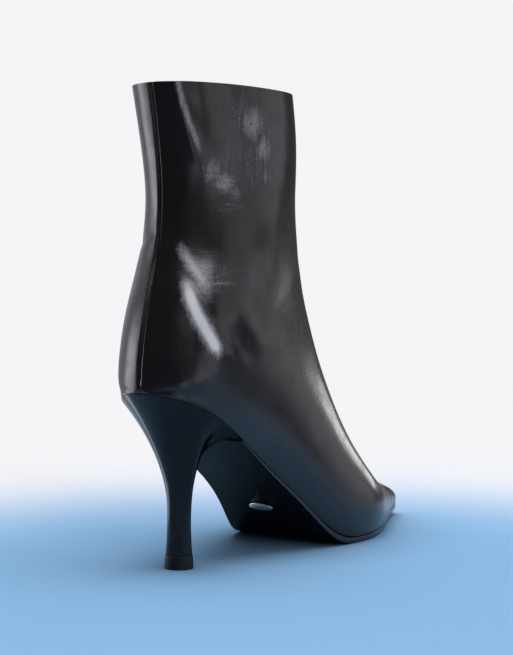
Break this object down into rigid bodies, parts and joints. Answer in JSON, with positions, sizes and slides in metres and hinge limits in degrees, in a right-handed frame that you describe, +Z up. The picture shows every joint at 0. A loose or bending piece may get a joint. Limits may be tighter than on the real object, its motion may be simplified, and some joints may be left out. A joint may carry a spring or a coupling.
{
  "type": "heeled ankle boot",
  "caption": "Right ankle boot with a pointed toe, a plain leather upper closed by a seam down the back, an open collar, and a slim flared high heel.",
  "frame": {"origin": "on the floor, under the middle of the boot's bounding box", "axes": "+Z up, toe towards -Y, outer side of this right boot towards -X"},
  "size_m": [0.0796, 0.2451, 0.2354],
  "materials": {
    "upper_leather": "black smooth leather, glossy",
    "insole_leather": "black lining leather, matt",
    "sole_leather": "black sole leather, satin",
    "heel_cover": "black leather cover, semi-gloss",
    "top_piece_rubber": "black rubber, matt",
    "stud_metal": "polished metal"
  },
  "bodies": {
    "root": {"upper": "upper_leather", "insole": "insole_leather", "outsole": "sole_leather", "heel": "heel_cover", "top_piece": "top_piece_rubber", "sole_stud": "stud_metal"}
  },
  "joints": []
}
